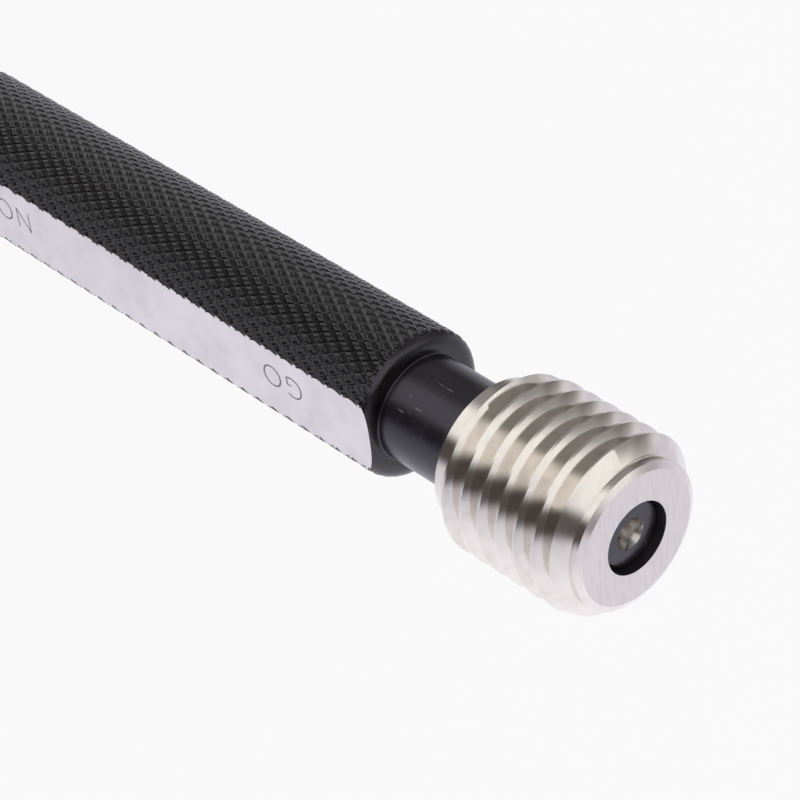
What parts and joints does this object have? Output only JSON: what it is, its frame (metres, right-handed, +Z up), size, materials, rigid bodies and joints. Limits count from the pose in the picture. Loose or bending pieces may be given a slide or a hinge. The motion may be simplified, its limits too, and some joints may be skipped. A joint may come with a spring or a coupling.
{
  "type": "thread plug gauge",
  "caption": "Double-ended screw thread plug gauge: a longer Go thread plug and a shorter No-Go thread plug on a knurled steel handle with a marking flat.",
  "frame": {"origin": "centre of the No-Go plug's end face, on which the gauge stands: bottom centre of the whole part", "axes": "+Z up along the gauge's turning axis from the No-Go end to the Go end, -Y out of the handle's marking flat, +X to the right when looking at the flat with the Go end up"},
  "size_m": [0.02, 0.02, 0.1354],
  "materials": {
    "blackened_steel": "black-oxidised, knurled and turned steel",
    "ground_steel": "hardened steel, ground on threads and faces"
  },
  "bodies": {
    "root": {"handle": "blackened_steel", "go_thread_plug": "ground_steel", "no_go_thread_plug": "ground_steel"}
  },
  "joints": []
}
